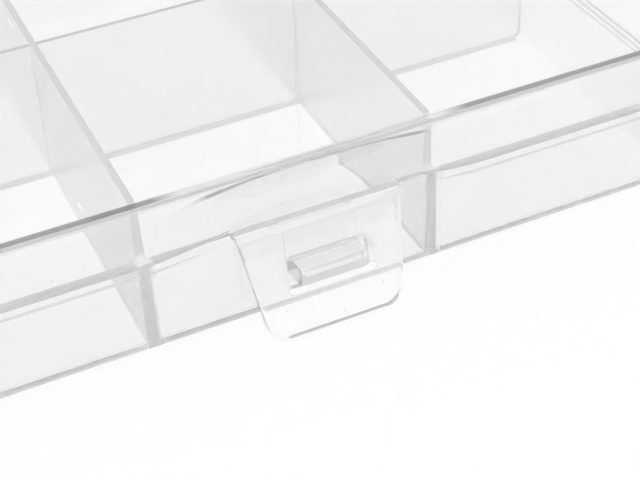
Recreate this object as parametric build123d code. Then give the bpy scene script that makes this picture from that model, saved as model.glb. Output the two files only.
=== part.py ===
"""Clear compartment box for beads: a base tray with fixed dividers, one hinged lid and two snap latches.

Units are millimetres. X runs along the box, Y from the latch side to the hinge side, Z up.
The origin is the middle of the face that the box stands on.
"""
import os
from math import cos, radians, sin, tan

from build123d import *

# Compartments, measured on the floor of the tray
COLUMNS = 5
ROWS = 2
CELL_LENGTH = 39.2
CELL_DEPTH = 42.7

# Heights above the table
TOTAL_HEIGHT = 25.0
RIM_HEIGHT = 15.7

# Tray moulding
TRAY_WALL = 1.2
FLOOR_THICKNESS = 1.3
WALL_DRAFT = 1.0
CAVITY_CORNER = 3.0
CAVITY_FLOOR_RADIUS = 1.0
FLANGE_REACH = 1.4
FLANGE_HEIGHT = 1.4
FLANGE_LEAST_REACH = 0.35
FLANGE_GAP_HALF_WIDTH = 13.6
FLANGE_END_RADIUS = 0.9

# Fixed dividers: thick foot, thin tip, and the step that lets the lid's skirt pass in front of them
DIVIDER_FOOT = 1.9
DIVIDER_TIP = 0.95
CROSS_WALL_FOOT = 1.2
CROSS_WALL_TIP = 0.7
DIVIDER_STEP = 1.2
DIVIDER_TOP_CLEARANCE = 0.55

# Lid moulding
LID_SKIN = 1.25
LID_DRAFT = 1.0
LID_EDGE_RADIUS = 0.4
LID_INNER_RADIUS = 0.4

# Finger scoop pressed into the lid's skirt behind each latch
SCOOP_HALF_WIDTH = 24.0
SCOOP_DEPTH = 2.3
SCOOP_TOP_MARGIN = 0.7
SCOOP_FULLNESS = 1.4
SCOOP_EDGE_LIFT = 0.05
SCOOP_SIDE_MARGIN = 1.5
SCOOP_GRID = (25, 13)
SCOOP_FIT_TOLERANCE = 0.01
SEAM_CUT_MARGIN = 1.2

# Latch flap: a trapezoid plate that hangs from a rounded bead in front of the lid's shelf
LATCH_CENTRES = (-44.4, 44.4)
LATCH_TOP_WIDTH = 23.8
LATCH_TIP_WIDTH = 19.2
LATCH_THICKNESS = 1.9
LATCH_TILT = 18.2
LATCH_TIP_HEIGHT = 0.2
LATCH_CORNER_RADIUS = 3.0
LATCH_EDGE_RADIUS = 0.8
LATCH_NECK_DROP = 3.5
LATCH_NECK_INSET = 0.2
BEAD_RADIUS = 0.75
BEAD_INSET = 0.3
BEAD_CLEARANCE = 0.12
SHELF_THICKNESS = 0.7
SHELF_DEPTH = 2.6
SHELF_CLEARANCE = 0.15

# Slot in the flap, and the catch on the tray that stands in it; spans are from the slot's middle
SLOT_DROP = 6.8
SLOT_WIDTH = 11.6
SLOT_HEIGHT = 4.0
SLOT_BEVEL = 0.6
SLOT_CORNER = 0.4
PAD_WIDTH = 10.4
PAD_FACE = 0.72
PAD_SPAN = (-2.0, 5.1)
NOSE_REACH = 4.0
NOSE_TIP_SPAN = (-1.18, 1.6)
NOSE_ROOT_SPAN = (-1.8, 1.05)
NOSE_TIP_WIDTH = 9.2
NOSE_ROOT_WIDTH = 9.8
NOSE_BEVEL = 0.35

# Hinge: moulded knuckles and a wire pin at two places along the back
HINGE_CENTRES = (-60.0, 60.0)
KNUCKLE_RADIUS = 2.0
KNUCKLE_STANDOFF = 0.3
LID_KNUCKLE_LENGTH = 8.0
TRAY_KNUCKLE_LENGTH = 6.0
KNUCKLE_GAP = 0.3
GUSSET_DROP = 5.0
PIN_RADIUS = 0.8
PIN_GRIP_CLEARANCE = 0.02
PIN_RUN_CLEARANCE = 0.06
PIN_END_INSET = 0.4

# How far a cutting tool runs past what it cuts
CUT_OVERLAP = 0.5

# Sizes that follow from the ones above
CAVITY_LENGTH = COLUMNS * CELL_LENGTH + (COLUMNS - 1) * DIVIDER_FOOT
CAVITY_DEPTH = ROWS * CELL_DEPTH + (ROWS - 1) * CROSS_WALL_FOOT
WALL_LEAN = tan(radians(WALL_DRAFT))
TRAY_CORNER = CAVITY_CORNER + TRAY_WALL
TRAY_BOTTOM_RADIUS = CAVITY_FLOOR_RADIUS + TRAY_WALL
BODY_LENGTH = CAVITY_LENGTH + 2 * (TRAY_WALL + FLANGE_REACH)
BODY_DEPTH = CAVITY_DEPTH + 2 * (TRAY_WALL + FLANGE_REACH)
BODY_CORNER = TRAY_CORNER + FLANGE_REACH
FRONT = -BODY_DEPTH / 2
BACK = BODY_DEPTH / 2
LID_HEIGHT = TOTAL_HEIGHT - RIM_HEIGHT
DIVIDER_HEIGHT = TOTAL_HEIGHT - LID_SKIN - DIVIDER_TOP_CLEARANCE
SCOOP_RISE = LID_HEIGHT - SCOOP_TOP_MARGIN

LATCH_AXIS_Y = FRONT + BEAD_INSET
LATCH_AXIS_Z = RIM_HEIGHT - BEAD_RADIUS
LATCH_LEAN = radians(LATCH_TILT)
LATCH_OUTWARD = Vector(0, -cos(LATCH_LEAN), sin(LATCH_LEAN))
LATCH_FACE_Y = LATCH_AXIS_Y - BEAD_RADIUS / cos(LATCH_LEAN)
SLOT_MIDDLE = RIM_HEIGHT - SLOT_DROP
HINGE_AXIS_Y = BACK + KNUCKLE_RADIUS + KNUCKLE_STANDOFF
HINGE_AXIS_Z = RIM_HEIGHT


def slab(length, depth, corner, bottom, height, draft):
    """A rounded rectangle raised by height; a positive draft leans its sides inwards."""
    outline = Plane.XY.offset(bottom) * RectangleRounded(length, depth, corner)
    return extrude(outline, height, taper=draft)


def edges_at(solid, height):
    """The edges of a solid that lie in the level plane at this height."""
    return [e for e in solid.edges() if abs(e.bounding_box().min.Z - height) < 1e-4
            and abs(e.bounding_box().max.Z - height) < 1e-4]


def scoop_depth(across, rise):
    """Depth of the finger scoop: a full dish that runs out smoothly at an arched edge."""
    reach = 1 - (across / SCOOP_HALF_WIDTH) ** 2 - (rise / SCOOP_RISE) ** 4
    return SCOOP_DEPTH * reach * abs(reach) ** (SCOOP_FULLNESS - 1) - SCOOP_EDGE_LIFT


def scoop_profile_y(across):
    """Place of the lid's lower front edge, at a distance across from the middle of a latch."""
    return FRONT + max(scoop_depth(across, 0), 0)


def scoop_surface(centre):
    """The dished face of one scoop, from below the rim to the top of the skirt."""
    columns, rows = SCOOP_GRID
    half = SCOOP_HALF_WIDTH + SCOOP_SIDE_MARGIN
    below = SHELF_THICKNESS + CUT_OVERLAP
    grid = []
    for i in range(columns):
        across = -half + 2 * half * i / (columns - 1)
        line = []
        for j in range(rows):
            rise = -below + (LID_HEIGHT + below) * j / (rows - 1)
            lean = tan(radians(LID_DRAFT)) * rise
            depth = scoop_depth(across, max(rise, 0))
            line.append(Vector(centre + across, FRONT + lean + depth, RIM_HEIGHT + rise))
        grid.append(line)
    return Face.make_surface_from_array_of_points(grid, tol=SCOOP_FIT_TOLERANCE, min_deg=3, max_deg=3)


def cavity(bottom, top, step=0.0):
    """The hollow of the tray between two heights, drawn in by a step on every side."""
    grow = 2 * WALL_LEAN * (bottom - FLOOR_THICKNESS) - 2 * step
    return slab(CAVITY_LENGTH + grow, CAVITY_DEPTH + grow, CAVITY_CORNER, bottom, top - bottom, -WALL_DRAFT)


def tapered_plate(foot, tip, length):
    """A straight divider along Y, thick at the floor and thin at its top, longer than the cavity."""
    low, high = FLOOR_THICKNESS, DIVIDER_HEIGHT
    section = Plane.XZ * Polyline(
        (-foot / 2, low), (foot / 2, low), (tip / 2, high), (-tip / 2, high), close=True)
    return extrude(make_face(section), length / 2, both=True)


def divider_places():
    """X of each long divider, and Y of each cross wall."""
    pitch_x, pitch_y = CELL_LENGTH + DIVIDER_FOOT, CELL_DEPTH + CROSS_WALL_FOOT
    xs = [pitch_x * (i - (COLUMNS - 2) / 2) for i in range(COLUMNS - 1)]
    ys = [pitch_y * (i - (ROWS - 2) / 2) for i in range(ROWS - 1)]
    return xs, ys


def divider_space():
    """Where dividers may stand: the cavity, stepped in above the rim so that the skirt passes."""
    floor_edges = edges_at(cavity(FLOOR_THICKNESS, RIM_HEIGHT), FLOOR_THICKNESS)
    low = fillet(floor_edges, CAVITY_FLOOR_RADIUS)
    return low + cavity(RIM_HEIGHT, DIVIDER_HEIGHT, DIVIDER_STEP)


def flange():
    """The rim that the lid's skirt sits on: it follows the lid's edge and leaves a gap behind each latch."""
    bottom = RIM_HEIGHT - FLANGE_HEIGHT
    ring = slab(BODY_LENGTH, BODY_DEPTH, BODY_CORNER, bottom, FLANGE_HEIGHT, 0)
    least = slab(BODY_LENGTH, CAVITY_DEPTH + 2 * (TRAY_WALL + FLANGE_LEAST_REACH), TRAY_CORNER,
                 bottom, FLANGE_HEIGHT, 0)
    for centre in LATCH_CENTRES:
        ring -= seam_cut(centre, bottom, FLANGE_HEIGHT) - least
        gap = Pos(centre, FRONT) * Rectangle(2 * FLANGE_GAP_HALF_WIDTH, 2 * FLANGE_REACH)
        ring -= extrude(Plane.XY.offset(bottom) * gap, FLANGE_HEIGHT)
    ends = [e for e in edges_at(ring, bottom) if min(
        abs(abs(e.center().X - centre) - FLANGE_GAP_HALF_WIDTH) for centre in LATCH_CENTRES) < 1e-4]
    return fillet(ends, FLANGE_END_RADIUS)


def seam_cut(centre, bottom, height):
    """Everything in front of the lid's scooped lower edge, between two heights."""
    count = SCOOP_GRID[0]
    reach = SCOOP_HALF_WIDTH - SEAM_CUT_MARGIN
    places = [-reach + 2 * reach * i / (count - 1) for i in range(count)]
    edge = Spline([(centre + s, scoop_profile_y(s), 0) for s in places])
    ahead = FRONT - 2 * FLANGE_REACH
    closing = Polyline(edge @ 1, (centre + reach, ahead, 0), (centre - reach, ahead, 0), edge @ 0)
    return extrude(Plane.XY.offset(bottom) * make_face([edge, closing]), height, dir=(0, 0, 1))


def catch(centre):
    """The pad on the tray's front wall and the nose that the flap's slot drops over."""
    pad_back = FRONT + FLANGE_REACH + TRAY_WALL / 2
    pad_front = FRONT + PAD_FACE
    pad = extrude(upright(centre, pad_back, PAD_WIDTH, PAD_SPAN), pad_back - pad_front)
    nose = loft([upright(centre, pad_front, NOSE_ROOT_WIDTH, NOSE_ROOT_SPAN),
                 upright(centre, FRONT - NOSE_REACH, NOSE_TIP_WIDTH, NOSE_TIP_SPAN)])
    nose = chamfer(nose.faces().sort_by(Axis.Y)[0].edges(), NOSE_BEVEL)
    return pad + nose


def upright(centre, y, width, span):
    """An upright rectangle facing the front, between two heights above the slot's middle."""
    low, high = span
    face_plane = Plane(origin=(centre, y, SLOT_MIDDLE + (low + high) / 2), x_dir=(1, 0, 0), z_dir=(0, -1, 0))
    return face_plane * Rectangle(width, high - low)


def knuckle(centre, length):
    """A plain cylinder on the hinge's axis."""
    return Pos(centre, HINGE_AXIS_Y, HINGE_AXIS_Z) * Rot(0, 90, 0) * Cylinder(KNUCKLE_RADIUS, length)


def knuckle_bore(centre, length, clearance):
    """The hole for the pin through one knuckle."""
    return Pos(centre, HINGE_AXIS_Y, HINGE_AXIS_Z) * Rot(0, 90, 0) * Cylinder(
        PIN_RADIUS + clearance, length + 2 * CUT_OVERLAP)


def hinge_arm(centre, length, profile):
    """A web with the given outline in Y and Z, as long as its knuckle."""
    face = make_face(Plane.YZ.offset(centre - length / 2) * Polyline(*profile, close=True))
    return extrude(face, length, dir=(1, 0, 0))


def tray_knuckles(centre):
    """Two knuckles on the tray, either side of the lid's, each on a gusset from the back wall."""
    wall_face = BACK - FLANGE_REACH - TRAY_WALL / 2
    gusset = [(wall_face, RIM_HEIGHT),
              (HINGE_AXIS_Y, RIM_HEIGHT),
              (HINGE_AXIS_Y, RIM_HEIGHT - KNUCKLE_RADIUS),
              (wall_face, RIM_HEIGHT - GUSSET_DROP)]
    shift = (LID_KNUCKLE_LENGTH + TRAY_KNUCKLE_LENGTH) / 2 + KNUCKLE_GAP
    pair = []
    for side in (-1, 1):
        place = centre + side * shift
        piece = knuckle(place, TRAY_KNUCKLE_LENGTH) + hinge_arm(place, TRAY_KNUCKLE_LENGTH, gusset)
        pair.append(piece - knuckle_bore(place, TRAY_KNUCKLE_LENGTH, PIN_GRIP_CLEARANCE))
    return pair


def base_tray():
    """Floor, outer walls, rim flange, catches and hinge knuckles in one moulding."""
    tray = slab(CAVITY_LENGTH + 2 * TRAY_WALL, CAVITY_DEPTH + 2 * TRAY_WALL, TRAY_CORNER,
                0, RIM_HEIGHT, -WALL_DRAFT)
    tray = fillet(edges_at(tray, 0), TRAY_BOTTOM_RADIUS)
    tray += flange()
    hollow = cavity(FLOOR_THICKNESS, RIM_HEIGHT + CUT_OVERLAP)
    tray -= fillet(edges_at(hollow, FLOOR_THICKNESS), CAVITY_FLOOR_RADIUS)
    for centre in LATCH_CENTRES:
        tray -= shelf_band(centre, LATCH_TOP_WIDTH + 2 * SHELF_CLEARANCE, SHELF_THICKNESS + SHELF_CLEARANCE)
        tray += catch(centre)
    for centre in HINGE_CENTRES:
        for piece in tray_knuckles(centre):
            tray += piece
    return tray


def lid():
    """Top panel and deep skirt, with scoops, the shelves that carry the latches and hinge knuckles."""
    outer = slab(BODY_LENGTH, BODY_DEPTH, BODY_CORNER, RIM_HEIGHT, LID_HEIGHT, LID_DRAFT)
    outer = fillet(edges_at(outer, TOTAL_HEIGHT), LID_EDGE_RADIUS)
    inner = slab(BODY_LENGTH - 2 * LID_SKIN, BODY_DEPTH - 2 * LID_SKIN, BODY_CORNER - LID_SKIN,
                 RIM_HEIGHT, LID_HEIGHT - LID_SKIN, LID_DRAFT)
    inner = fillet(edges_at(inner, TOTAL_HEIGHT - LID_SKIN), LID_INNER_RADIUS)
    for centre in LATCH_CENTRES:
        ahead = extrude(scoop_surface(centre), SCOOP_DEPTH + LID_SKIN, dir=(0, -1, 0))
        outer -= ahead
        inner -= Pos(0, LID_SKIN) * ahead
    shell = outer - inner
    for centre in LATCH_CENTRES:
        shell += extrude(scoop_surface(centre), LID_SKIN, dir=(0, 1, 0)) & shelf_band(
            centre, LATCH_TOP_WIDTH, SHELF_THICKNESS)
        shell += shelf(centre)
    wall_middle = BACK - LID_SKIN / 2
    arm = [(wall_middle, RIM_HEIGHT),
           (HINGE_AXIS_Y, RIM_HEIGHT),
           (HINGE_AXIS_Y, RIM_HEIGHT + KNUCKLE_RADIUS),
           (wall_middle, RIM_HEIGHT + KNUCKLE_RADIUS)]
    for centre in HINGE_CENTRES:
        piece = knuckle(centre, LID_KNUCKLE_LENGTH) + hinge_arm(centre, LID_KNUCKLE_LENGTH, arm)
        shell += piece - knuckle_bore(centre, LID_KNUCKLE_LENGTH, PIN_RUN_CLEARANCE)
    return shell


def latch_bead(centre, radius, length):
    """A cylinder on the latch's axis."""
    return Pos(centre, LATCH_AXIS_Y, LATCH_AXIS_Z) * Rot(0, 90, 0) * Cylinder(radius, length)


def shelf(centre):
    """The ledge in front of the dished skirt, which ends in a groove round the latch's bead."""
    depth = SHELF_DEPTH - BEAD_INSET
    ledge = Pos(centre, LATCH_AXIS_Y + depth / 2, RIM_HEIGHT - SHELF_THICKNESS / 2) * Box(
        LATCH_TOP_WIDTH, depth, SHELF_THICKNESS)
    return ledge - latch_bead(centre, BEAD_RADIUS + BEAD_CLEARANCE, LATCH_TOP_WIDTH + 2 * CUT_OVERLAP)


def shelf_band(centre, width, depth):
    """A block just under the rim, deep enough to take in the tray's wall and the dished skirt."""
    reach = SCOOP_DEPTH + LID_SKIN + CUT_OVERLAP
    return Pos(centre, FRONT + reach / 2, RIM_HEIGHT - depth / 2) * Box(width, reach, depth)


def latch(centre):
    """The flap: bead, neck and leaning plate in one section, trimmed to a trapezoid, with its slot."""
    through = LATCH_THICKNESS / cos(LATCH_LEAN)
    neck_z = LATCH_AXIS_Z - LATCH_NECK_DROP
    tangent = Vector(0, LATCH_AXIS_Y, LATCH_AXIS_Z) + LATCH_OUTWARD * BEAD_RADIUS
    section = [(LATCH_AXIS_Y, LATCH_AXIS_Z),
               (tangent.Y, tangent.Z),
               (latch_face_y(LATCH_TIP_HEIGHT), LATCH_TIP_HEIGHT),
               (latch_face_y(LATCH_TIP_HEIGHT) + through, LATCH_TIP_HEIGHT),
               (latch_face_y(neck_z) + through, neck_z),
               (LATCH_AXIS_Y + LATCH_NECK_INSET, LATCH_AXIS_Z - BEAD_RADIUS)]
    side_face = make_face(Plane.YZ.offset(centre - LATCH_TOP_WIDTH / 2) * Polyline(*section, close=True))
    plate = extrude(side_face, LATCH_TOP_WIDTH, dir=(1, 0, 0)) & latch_front_view(centre)
    front = plate.faces().filter_by(Plane((0, 0, 0), z_dir=LATCH_OUTWARD)).sort_by(Axis.Y)[0]
    rim = [e for e in front.edges() if e.center().Z < LATCH_AXIS_Z]
    plate = fillet(rim, LATCH_EDGE_RADIUS)
    bead = latch_bead(centre, BEAD_RADIUS, LATCH_TOP_WIDTH) & latch_front_view(centre)
    return plate + bead - slot(centre)


def latch_face_y(height):
    """Y of the flap's leaning outer face at a height."""
    return LATCH_FACE_Y - (LATCH_AXIS_Z - height) * tan(LATCH_LEAN)


def latch_front_view(centre):
    """A long bar with the flap's outline from the front: wide at the top, with round lower corners."""
    half, top, low = LATCH_TOP_WIDTH / 2, RIM_HEIGHT, LATCH_TIP_HEIGHT
    outline = make_face(Plane.XZ * Polyline(
        (centre - half, top), (centre + half, top),
        (centre + LATCH_TIP_WIDTH / 2, low), (centre - LATCH_TIP_WIDTH / 2, low), close=True))
    outline = fillet(outline.vertices().group_by(Axis.Z)[0], LATCH_CORNER_RADIUS)
    return extrude(outline, BODY_DEPTH, both=True)


def slot(centre):
    """The window through the flap, square to the plate, with a bevel round its outer mouth."""
    middle = (centre, latch_face_y(SLOT_MIDDLE), SLOT_MIDDLE)
    mouth = Plane(origin=middle, x_dir=(1, 0, 0), z_dir=LATCH_OUTWARD)
    outline = mouth * RectangleRounded(SLOT_WIDTH, SLOT_HEIGHT, SLOT_CORNER)
    window = extrude(outline, 2 * LATCH_THICKNESS, both=True)
    grown = mouth.offset(SLOT_BEVEL) * RectangleRounded(
        SLOT_WIDTH + 4 * SLOT_BEVEL, SLOT_HEIGHT + 4 * SLOT_BEVEL, SLOT_CORNER + 2 * SLOT_BEVEL)
    return window + extrude(grown, -2 * SLOT_BEVEL, taper=45)


def hinge_pin(centre):
    """The wire pin through one set of three knuckles."""
    length = LID_KNUCKLE_LENGTH + 2 * (TRAY_KNUCKLE_LENGTH + KNUCKLE_GAP) - 2 * PIN_END_INSET
    return Pos(centre, HINGE_AXIS_Y, HINGE_AXIS_Z) * Rot(0, 90, 0) * Cylinder(PIN_RADIUS, length)


def build():
    """Every node by name."""
    nodes = {"base_tray": base_tray(), "lid": lid()}
    space = divider_space()
    xs, ys = divider_places()
    dividers = [(Pos(x, 0) * tapered_plate(DIVIDER_FOOT, DIVIDER_TIP, BODY_DEPTH)) & space for x in xs]
    for number, divider in enumerate(dividers, 1):
        nodes[f"long_divider_{number}"] = divider
    cross_plate = Rot(0, 0, 90) * tapered_plate(CROSS_WALL_FOOT, CROSS_WALL_TIP, BODY_LENGTH)
    for row, y in enumerate(ys, 1):
        wall = (Pos(0, y) * cross_plate) & space
        for divider in dividers:
            wall -= divider
        pieces = sorted(wall.solids(), key=lambda s: s.center().X)
        for column, piece in enumerate(pieces, 1):
            nodes[f"cross_wall_{row}_{column}"] = piece
    for side, centre in zip(("left", "right"), LATCH_CENTRES):
        nodes[f"latch_{side}"] = latch(centre)
    for side, centre in zip(("left", "right"), HINGE_CENTRES):
        nodes[f"hinge_pin_{side}"] = hinge_pin(centre)
    return nodes


os.makedirs("parts", exist_ok=True)
for name, solid in build().items():
    export_step(solid, f"parts/{name}.step")
print(f"body {BODY_LENGTH:.2f} x {BODY_DEPTH:.2f} x {TOTAL_HEIGHT:.2f}")
print(f"latch axis Y {LATCH_AXIS_Y:.3f} Z {LATCH_AXIS_Z:.3f}")
print(f"hinge axis Y {HINGE_AXIS_Y:.3f} Z {HINGE_AXIS_Z:.3f}")
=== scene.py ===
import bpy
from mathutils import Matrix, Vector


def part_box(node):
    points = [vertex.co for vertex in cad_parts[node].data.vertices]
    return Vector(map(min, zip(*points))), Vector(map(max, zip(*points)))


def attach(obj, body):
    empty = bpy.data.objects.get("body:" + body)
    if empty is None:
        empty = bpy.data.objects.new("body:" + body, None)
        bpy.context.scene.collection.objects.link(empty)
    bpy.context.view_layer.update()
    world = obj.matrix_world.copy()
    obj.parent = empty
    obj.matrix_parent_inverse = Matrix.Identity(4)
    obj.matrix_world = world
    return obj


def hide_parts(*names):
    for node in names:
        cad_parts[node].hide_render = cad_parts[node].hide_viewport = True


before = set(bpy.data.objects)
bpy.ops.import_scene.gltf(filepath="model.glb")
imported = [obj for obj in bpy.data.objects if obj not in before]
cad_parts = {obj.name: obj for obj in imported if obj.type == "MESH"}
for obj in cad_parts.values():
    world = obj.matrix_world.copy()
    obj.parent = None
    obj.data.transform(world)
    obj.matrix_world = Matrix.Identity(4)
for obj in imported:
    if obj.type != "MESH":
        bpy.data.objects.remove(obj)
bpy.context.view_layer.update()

import math

import bmesh
import bpy
import numpy as np
from mathutils import Matrix, Vector

# The base tray: floor, walls, rim flange, catches, hinge knuckles, long dividers and cross walls, injected
# in one shot of clear styrene copolymer. The walls are polished in the mould and the dividers are drawn a
# little hazier. Its pieces are joined here into one skin, so that no false faces lie inside the plastic.
TRAY_DIVIDERS = [f"long_divider_{n}" for n in range(1, 5)] + [f"cross_wall_1_{n}" for n in range(1, 6)]
JOIN_DEPTH = 0.00012
MERGE_DISTANCE = 1e-7
CLEAR = (0.985, 0.987, 0.987, 1.0)
# A dark grey mixed into the base colour: for the plastic's faint tone, for dust specks, and for painted shade
# and painted shadow.
TONE_AND_SHADE_GREY = (0.10, 0.102, 0.104, 1.0)
SEE_THROUGH = 0.84
STYRENE_IOR = 1.49
POLISH = 0.02
SCUFFED = 0.05
FLOW_DEPTH = 0.0004
FLOW_STRENGTH = 0.01
SHADOW_LET_BY = 0.9
MARK_SCALES = {"Flow scale": 60.0, "Scuff scale": 2200.0, "Speck scale": 420.0}
FLOW_DETAIL = 2.0
SCUFF_DETAIL = 1.0
SCUFF_SLANT = (0.0, 0.0, 0.6)
SCUFF_STRETCH = (1.0, 0.06, 0.3)
SCUFF_RARITY = (0.74, 0.82)
SPECK_EDGE = (0.05, 0.03)
THIN = 0.00006
FOOT_FADE = 0.00025
# Painted shadow on the underside below each cross wall's root, standing in for the walls' shadow on the
# table, and painted shade along the walls' tips, where light is lost in a wall seen end-on.
ROOT_PAINTED_SHADOW = 0.8
TIP_PAINTED_SHADE = 0.65
WALL_SMOKE = 0.048
WALL_REACH = 0.0446
END_WALL_SMOKE = 0.12
END_WALL = 0.1021
DIVIDER_SMOKE = 0.045
DIVIDER_HAZE = 0.22
END_HAZE = 0.45
CATCH_SMOKE = 0.07
CATCH_START = 0.0463


def merged_copy(node, name):
    """A copy of a CAD node's mesh with its loose triangles joined into one closed skin."""
    copy = bpy.data.objects.new(name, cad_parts[node].data.copy())
    bpy.context.scene.collection.objects.link(copy)
    skin = bmesh.new()
    skin.from_mesh(copy.data)
    bmesh.ops.remove_doubles(skin, verts=skin.verts, dist=MERGE_DISTANCE)
    skin.to_mesh(copy.data)
    skin.free()
    return copy


def seat_deeper(piece, reach):
    """Scales a divider about the middle of its top edge, so that its foot and ends reach into the tray."""
    points = np.empty(len(piece.data.vertices) * 3)
    piece.data.vertices.foreach_get("co", points)
    points = points.reshape(-1, 3)
    low, high = points.min(0), points.max(0)
    pivot = np.array([(low[0] + high[0]) / 2, (low[1] + high[1]) / 2, high[2]])
    scale = 1 + np.array(reach) / (high - low)
    piece.data.vertices.foreach_set("co", ((points - pivot) * scale + pivot).ravel())


def joined_tray():
    """The tray's skin, with each divider added to it by an exact union."""
    whole = merged_copy("base_tray", "clear_tray")
    for node in TRAY_DIVIDERS:
        divider = merged_copy(node, node + "_joined")
        ends = (2 * JOIN_DEPTH, 0.0) if node.startswith("cross") else (0.0, 2 * JOIN_DEPTH)
        seat_deeper(divider, (*ends, JOIN_DEPTH))
        join = whole.modifiers.new(node, "BOOLEAN")
        join.operation = "UNION"
        join.solver = "EXACT"
        join.object = divider
        bpy.context.view_layer.objects.active = whole
        bpy.context.view_layer.update()
        bpy.ops.object.modifier_apply(modifier=join.name)
        bpy.data.objects.remove(divider)
    return whole


def fade(tree, value, nothing, full):
    """A mask that is 0 where value is at nothing, 1 at full, and clamped beyond both."""
    node = tree.nodes.new("ShaderNodeMapRange")
    node.inputs["From Min"].default_value = nothing
    node.inputs["From Max"].default_value = full
    tree.links.new(value, node.inputs["Value"])
    return node.outputs["Result"]


def moulding_marks():
    """Node group: a slow flow ripple as a height, hairline scuffs and sparse dust specks as masks."""
    group = bpy.data.node_groups.new("moulding_marks", "ShaderNodeTree")
    for name, value in MARK_SCALES.items():
        socket = group.interface.new_socket(name, in_out="INPUT", socket_type="NodeSocketFloat")
        socket.default_value = value
    for name in ("Flow", "Scuff", "Speck"):
        group.interface.new_socket(name, in_out="OUTPUT", socket_type="NodeSocketFloat")
    nodes, links = group.nodes, group.links
    given, result = nodes.new("NodeGroupInput"), nodes.new("NodeGroupOutput")
    place = nodes.new("ShaderNodeTexCoord")
    flow = nodes.new("ShaderNodeTexNoise")
    flow.inputs["Detail"].default_value = FLOW_DETAIL
    stroke = nodes.new("ShaderNodeMapping")
    stroke.inputs["Rotation"].default_value = SCUFF_SLANT
    stroke.inputs["Scale"].default_value = SCUFF_STRETCH
    scuff = nodes.new("ShaderNodeTexNoise")
    scuff.inputs["Detail"].default_value = SCUFF_DETAIL
    speck = nodes.new("ShaderNodeTexVoronoi")
    links.new(place.outputs["Object"], flow.inputs["Vector"])
    links.new(given.outputs["Flow scale"], flow.inputs["Scale"])
    links.new(place.outputs["Object"], stroke.inputs["Vector"])
    links.new(stroke.outputs["Vector"], scuff.inputs["Vector"])
    links.new(given.outputs["Scuff scale"], scuff.inputs["Scale"])
    links.new(place.outputs["Object"], speck.inputs["Vector"])
    links.new(given.outputs["Speck scale"], speck.inputs["Scale"])
    links.new(flow.outputs["Fac"], result.inputs["Flow"])
    links.new(fade(group, scuff.outputs["Fac"], *SCUFF_RARITY), result.inputs["Scuff"])
    links.new(fade(group, speck.outputs["Distance"], *SPECK_EDGE), result.inputs["Speck"])
    return group


marks = moulding_marks()


def maths(tree, operation, *values):
    """The output of a new Math node, whose inputs are numbers or other nodes' outputs."""
    node = tree.nodes.new("ShaderNodeMath")
    node.operation = operation
    for socket, value in zip(node.inputs, values):
        if isinstance(value, (int, float)):
            socket.default_value = value
        else:
            tree.links.new(value, socket)
    return node.outputs["Value"]


def product(tree, first, *others):
    """All the values multiplied together."""
    for other in others:
        first = maths(tree, "MULTIPLY", first, other)
    return first


def largest(tree, first, *others):
    """The largest of the values."""
    for other in others:
        first = maths(tree, "MAXIMUM", first, other)
    return first


def axes(tree):
    """The X, Y and Z of a point on the piece."""
    place, split = tree.nodes.new("ShaderNodeTexCoord"), tree.nodes.new("ShaderNodeSeparateXYZ")
    tree.links.new(place.outputs["Object"], split.inputs["Vector"])
    return [split.outputs[axis] for axis in "XYZ"]


def clear_plastic(name, tone_shade_and_haze):
    """Clear glossy plastic with moulding marks; the given function returns a greyness, made of the plastic's
    tone and painted shade, and an added roughness.
    """
    material = bpy.data.materials.new(name)
    material.use_nodes = True
    tree = material.node_tree
    nodes, links = tree.nodes, tree.links
    skin = nodes["Principled BSDF"]
    skin.inputs["Transmission Weight"].default_value = SEE_THROUGH
    skin.inputs["IOR"].default_value = STYRENE_IOR
    wear = nodes.new("ShaderNodeGroup")
    wear.node_tree = marks
    tone_and_shade, haze = tone_shade_and_haze(tree)
    # The base colour goes grey with the tone, the dust specks and the painted shade.
    colour = nodes.new("ShaderNodeMix")
    colour.data_type = "RGBA"
    colour.inputs["A"].default_value = CLEAR
    colour.inputs["B"].default_value = TONE_AND_SHADE_GREY
    links.new(largest(tree, tone_and_shade, wear.outputs["Speck"]), colour.inputs["Factor"])
    links.new(colour.outputs["Result"], skin.inputs["Base Color"])
    scuffed = maths(tree, "MULTIPLY_ADD", wear.outputs["Scuff"], SCUFFED, POLISH)
    links.new(maths(tree, "ADD", scuffed, haze), skin.inputs["Roughness"])
    bump = nodes.new("ShaderNodeBump")
    bump.inputs["Strength"].default_value = FLOW_STRENGTH
    bump.inputs["Distance"].default_value = FLOW_DEPTH
    links.new(wear.outputs["Flow"], bump.inputs["Height"])
    links.new(bump.outputs["Normal"], skin.inputs["Normal"])
    ray, open_way, cast = (nodes.new(kind) for kind in (
        "ShaderNodeLightPath", "ShaderNodeBsdfTransparent", "ShaderNodeMixShader"))
    links.new(product(tree, ray.outputs["Is Shadow Ray"], SHADOW_LET_BY), cast.inputs["Fac"])
    links.new(skin.outputs["BSDF"], cast.inputs[1])
    links.new(open_way.outputs["BSDF"], cast.inputs[2])
    links.new(cast.outputs["Shader"], nodes["Material Output"].inputs["Surface"])
    return material


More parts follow.
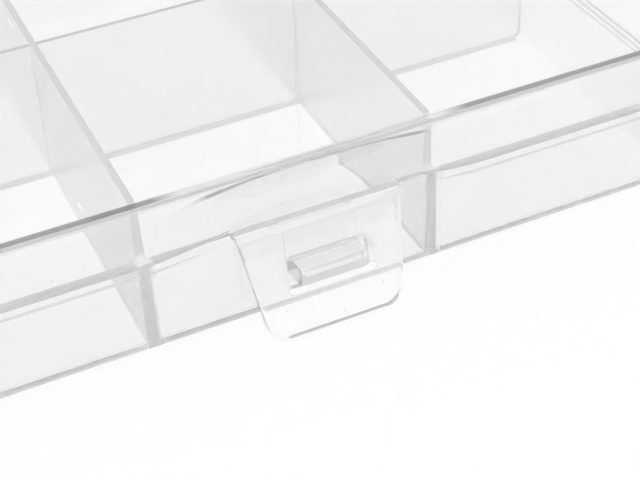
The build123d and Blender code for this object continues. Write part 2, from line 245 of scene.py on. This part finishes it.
def tray_tone_shade_and_haze(tree):
    """The tray's greyness and haze, from where a point lies.

    The cross walls' roots carry a painted shadow on the underside, for the walls' shadow on the table, and
    the walls' tips a painted shade, where a wall seen end-on loses light. The end walls and the catches are
    greyer, the dividers and their ends are hazier, and the ends are clear of grey. A point's distance from a
    long divider's middle is |frac(x / pitch) - 1/2| * pitch, and from a cross wall's it is |y|.
    """
    first, second, cross = (np.array(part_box(name)) for name in (
        "long_divider_1", "long_divider_2", "cross_wall_1_1"))
    half_long = float(first[1, 0] - first[0, 0]) / 2
    half_cross = float(cross[1, 1] - cross[0, 1]) / 2
    foot, tip_height, reach = float(first[0, 2]), float(first[1, 2]), float(first[1, 1])
    pitch = float(second[0, 0] - first[0, 0])
    x, y, z = axes(tree)
    along, across = maths(tree, "ABSOLUTE", x), maths(tree, "ABSOLUTE", y)
    turn = maths(tree, "FRACT", maths(tree, "DIVIDE", x, pitch))
    from_long = product(tree, maths(tree, "ABSOLUTE", maths(tree, "SUBTRACT", turn, 0.5)), pitch)
    near_long = fade(tree, from_long, half_long + FOOT_FADE, half_long)
    on_long = product(tree, near_long, maths(tree, "LESS_THAN", along, END_WALL))
    on_cross = fade(tree, across, half_cross + FOOT_FADE, half_cross)
    walls = largest(tree, on_long, on_cross)
    above_floor = maths(tree, "GREATER_THAN", z, foot + FOOT_FADE)
    on_dividers = product(tree, walls, above_floor, maths(tree, "LESS_THAN", across, WALL_REACH))
    at_ends = product(tree, on_long, maths(tree, "GREATER_THAN", across, reach - THIN))
    plain = maths(tree, "MULTIPLY_ADD", on_dividers, DIVIDER_SMOKE - WALL_SMOKE, WALL_SMOKE)
    # The greyness: painted shadow under the cross walls' roots, painted shade along the walls' tips, and the
    # plain tone of the walls, end walls and catches.
    tone_and_shade = largest(
        tree,
        product(tree, maths(tree, "LESS_THAN", z, THIN), on_cross, ROOT_PAINTED_SHADOW),
        product(tree, maths(tree, "GREATER_THAN", z, tip_height - THIN), walls, TIP_PAINTED_SHADE),
        product(tree, plain, maths(tree, "SUBTRACT", 1.0, at_ends)),
        product(tree, maths(tree, "GREATER_THAN", along, END_WALL), END_WALL_SMOKE),
        product(tree, maths(tree, "LESS_THAN", y, -CATCH_START), CATCH_SMOKE))
    haze = largest(tree, product(tree, on_dividers, DIVIDER_HAZE), product(tree, at_ends, END_HAZE))
    return tone_and_shade, haze


tray = joined_tray()
tray.data.materials.clear()
tray.data.materials.append(clear_plastic("tray_plastic", tray_tone_shade_and_haze))
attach(tray, "base")
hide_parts("base_tray", *TRAY_DIVIDERS)

# The lid: one clear moulding, a flat panel with a deep skirt, two finger scoops with the shelves that carry
# the flaps, and the middle knuckles of the hinges. Looked down on, the panel carries a painted shade over its
# skirt, which there stands end-on to the eye and loses light, fainter at the scoops, which cut the skirt
# back.
LID_SKIN = 0.00125
LID_CORNER = 0.0056
RIM_WIDTH = 0.00105
# Painted shade along the rim of the panel's top, over the skirt, which stands end-on to the eye and loses
# light; beside the scoops only a share of it.
RIM_PAINTED_SHADE = 0.93
RIM_FADE = 0.0003
SKIRT_SMOKE = 0.045
PANEL_SMOKE = 0.02
SCOOP_SHADE_SHARE = 0.35
SCOOP_CLEAR_HALF_WIDTH = 0.016
SCOOP_DARK_HALF_WIDTH = 0.022


def lid_tone_and_shade(tree):
    """The lid's greyness: a faint panel tone, a slightly darker skirt, and a painted shade along the rim over
    the skirt, where the skirt stands end-on and loses light. It has no haze.

    With q the part of (|x|, |y|) past the straight sides' ends, a point is on the rim where the length of q
    is more than the corner's radius less the rim's width.
    """
    low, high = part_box("lid")
    latch_low, latch_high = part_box("latch_right")
    x, y, z = axes(tree)
    along, across = maths(tree, "ABSOLUTE", x), maths(tree, "ABSOLUTE", y)
    past_x = largest(tree, maths(tree, "SUBTRACT", along, high.x - LID_CORNER), 0.0)
    past_y = largest(tree, maths(tree, "SUBTRACT", across, -low.y - LID_CORNER), 0.0)
    squares = maths(tree, "ADD", product(tree, past_x, past_x), product(tree, past_y, past_y))
    inner_edge = LID_CORNER - RIM_WIDTH
    over_skirt = fade(tree, maths(tree, "SQRT", squares), inner_edge - RIM_FADE, inner_edge)
    on_top = fade(tree, z, high.z - 3 * THIN, high.z - THIN)
    latch_middle = (latch_low.x + latch_high.x) / 2
    from_latch = maths(tree, "ABSOLUTE", maths(tree, "SUBTRACT", along, latch_middle))
    beside = fade(tree, from_latch, SCOOP_CLEAR_HALF_WIDTH, SCOOP_DARK_HALF_WIDTH)
    share = largest(tree, beside, maths(tree, "GREATER_THAN", y, 0.0), SCOOP_SHADE_SHARE)
    below = maths(tree, "LESS_THAN", z, high.z - 2 * LID_SKIN)
    plain = maths(tree, "MULTIPLY_ADD", below, SKIRT_SMOKE - PANEL_SMOKE, PANEL_SMOKE)
    # The rim's painted shade, over the panel's and skirt's plain tone.
    return largest(tree, product(tree, over_skirt, on_top, share, RIM_PAINTED_SHADE), plain), 0.0


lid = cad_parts["lid"]
lid.data.materials.clear()
lid.data.materials.append(clear_plastic("lid_plastic", lid_tone_and_shade))

# The two latch flaps: thick clear plates of the same plastic, each hung from the lid's shelf by a rounded
# bead, with a slot that snaps over the catch on the tray.
FLAP_SMOKE = 0.015


def flap_marks(tree):
    """An even faint greyness, with no haze."""
    return FLAP_SMOKE, 0.0


flap_plastic = clear_plastic("flap_plastic", flap_marks)
for side in ("left", "right"):
    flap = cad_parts[f"latch_{side}"]
    flap.data.materials.clear()
    flap.data.materials.append(flap_plastic)

# The hinge pins: bright drawn steel wire, pressed into the tray's outer knuckles. They lie along X, and so
# do the fine lines that the drawing die leaves.
WIRE_COLOUR = (0.60, 0.61, 0.62, 1.0)
WIRE_ROUGHNESS = (0.22, 0.38)
WIRE_LINES = (40.0, 4000.0, 4000.0)


def drawn_wire():
    """Steel with fine lines along the wire, which make its roughness uneven."""
    material = bpy.data.materials.new("pin_steel_wire")
    material.use_nodes = True
    tree = material.node_tree
    steel = tree.nodes["Principled BSDF"]
    steel.inputs["Base Color"].default_value = WIRE_COLOUR
    steel.inputs["Metallic"].default_value = 1.0
    place, stretch, lines, rough = (tree.nodes.new(kind) for kind in (
        "ShaderNodeTexCoord", "ShaderNodeMapping", "ShaderNodeTexNoise", "ShaderNodeMapRange"))
    stretch.inputs["Scale"].default_value = WIRE_LINES
    lines.inputs["Scale"].default_value = 1.0
    rough.inputs["To Min"].default_value = WIRE_ROUGHNESS[0]
    rough.inputs["To Max"].default_value = WIRE_ROUGHNESS[1]
    tree.links.new(place.outputs["Object"], stretch.inputs["Vector"])
    tree.links.new(stretch.outputs["Vector"], lines.inputs["Vector"])
    tree.links.new(lines.outputs["Fac"], rough.inputs["Value"])
    tree.links.new(rough.outputs["Result"], steel.inputs["Roughness"])
    return material


wire = drawn_wire()
for side in ("left", "right"):
    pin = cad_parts[f"hinge_pin_{side}"]
    pin.data.materials.clear()
    pin.data.materials.append(wire)

# The table: a plain white sheet just under the tray. It shows white to the eye, in reflections and through
# the plastic, and keeps a soft shadow.
TABLE_REACH = 3.0
TABLE_LEVEL = -0.0002
TABLE_CORNERS = ((-1, -1), (1, -1), (1, 1), (-1, 1))
TABLE_WHITE = (0.9, 0.9, 0.9, 1.0)
TABLE_ROUGHNESS = 0.9
TABLE_GLOW = 0.85
table_mesh = bpy.data.meshes.new("table")
corners = [(x * TABLE_REACH, y * TABLE_REACH, TABLE_LEVEL) for x, y in TABLE_CORNERS]
table_mesh.from_pydata(corners, [], [(0, 1, 2, 3)])
table = bpy.data.objects.new("table", table_mesh)
bpy.context.scene.collection.objects.link(table)
paper = bpy.data.materials.new("table_white")
paper.use_nodes = True
sheet = paper.node_tree
matt = sheet.nodes["Principled BSDF"]
matt.inputs["Base Color"].default_value = TABLE_WHITE
matt.inputs["Roughness"].default_value = TABLE_ROUGHNESS
glow, ray, blend = (sheet.nodes.new(kind) for kind in (
    "ShaderNodeEmission", "ShaderNodeLightPath", "ShaderNodeMixShader"))
seen = largest(sheet, *(ray.outputs[f"Is {kind} Ray"] for kind in ("Camera", "Transmission", "Glossy")))
sheet.links.new(product(sheet, seen, TABLE_GLOW), blend.inputs["Fac"])
sheet.links.new(matt.outputs["BSDF"], blend.inputs[1])
sheet.links.new(glow.outputs["Emission"], blend.inputs[2])
sheet.links.new(blend.outputs["Shader"], sheet.nodes["Material Output"].inputs["Surface"])
table_mesh.materials.append(paper)

# The room: a pale tent, dimmer near the horizon than overhead, so that the plastic's edges draw grey lines,
# and two weak soft boxes.
TENT = ((0.0, 0.68), (0.35, 0.72), (1.0, 0.9))
KEY_LEFT = {"place": (-0.9, -0.3, 0.9), "size": 0.5, "power": 6.0}
FILL_RIGHT = {"place": (0.9, -0.7, 0.6), "size": 0.4, "power": 2.0}
world = bpy.data.worlds.new("studio")
bpy.context.scene.world = world
world.use_nodes = True
sky = world.node_tree
tent = sky.nodes.new("ShaderNodeValToRGB")
tent.color_ramp.elements.new(TENT[1][0])
for element, (height, grey) in zip(tent.color_ramp.elements, TENT):
    element.position = height
    element.color = (grey, grey, grey, 1.0)
direction, heights = (sky.nodes.new(kind) for kind in ("ShaderNodeTexCoord", "ShaderNodeSeparateXYZ"))
sky.links.new(direction.outputs["Generated"], heights.inputs["Vector"])
sky.links.new(heights.outputs["Z"], tent.inputs["Fac"])
sky.links.new(tent.outputs["Color"], sky.nodes["Background"].inputs["Color"])


def soft_lamp(name, place, size, power):
    """A square soft box at place, turned to face the object."""
    data = bpy.data.lights.new(name, "AREA")
    data.size = size
    data.energy = power
    lamp = bpy.data.objects.new(name, data)
    lamp.location = place
    lamp.rotation_euler = (-Vector(place)).to_track_quat("-Z", "Y").to_euler()
    bpy.context.scene.collection.objects.link(lamp)


soft_lamp("key_left", **KEY_LEFT)
soft_lamp("fill_right", **FILL_RIGHT)

# The camera: a long lens that looks down from the front left, slightly rolled. Light is followed through many
# walls, because a ray that is given up on inside the plastic leaves a black speck.
LENS_PIXELS = 1502.0
FRAME_PIXELS = 640
SENSOR = 36.0
NEAREST = 0.01
CAMERA_PLACE = (-0.015925, -0.18885, 0.13365)
YAW, PITCH, ROLL = (math.radians(angle) for angle in (22.79, 38.28, -3.31))
WALLS_FOLLOWED = 40
GLINTS_FOLLOWED = 12
camera_data = bpy.data.cameras.new("camera")
camera_data.sensor_width = SENSOR
camera_data.lens = LENS_PIXELS / FRAME_PIXELS * SENSOR
camera_data.clip_start = NEAREST
camera = bpy.data.objects.new("camera", camera_data)
bpy.context.scene.collection.objects.link(camera)
ahead = Vector((math.sin(YAW) * math.cos(PITCH), math.cos(YAW) * math.cos(PITCH), -math.sin(PITCH)))
level = Vector((math.cos(YAW), -math.sin(YAW), 0.0))
upward = level.cross(ahead)
right = level * math.cos(ROLL) + upward * math.sin(ROLL)
top = upward * math.cos(ROLL) - level * math.sin(ROLL)
camera.matrix_world = Matrix.Translation(CAMERA_PLACE) @ Matrix((right, top, -ahead)).transposed().to_4x4()
bpy.context.scene.camera = camera
bpy.context.scene.view_settings.view_transform = "Standard"
light_paths = bpy.context.scene.cycles
light_paths.max_bounces = WALLS_FOLLOWED
light_paths.transmission_bounces = WALLS_FOLLOWED
light_paths.glossy_bounces = GLINTS_FOLLOWED
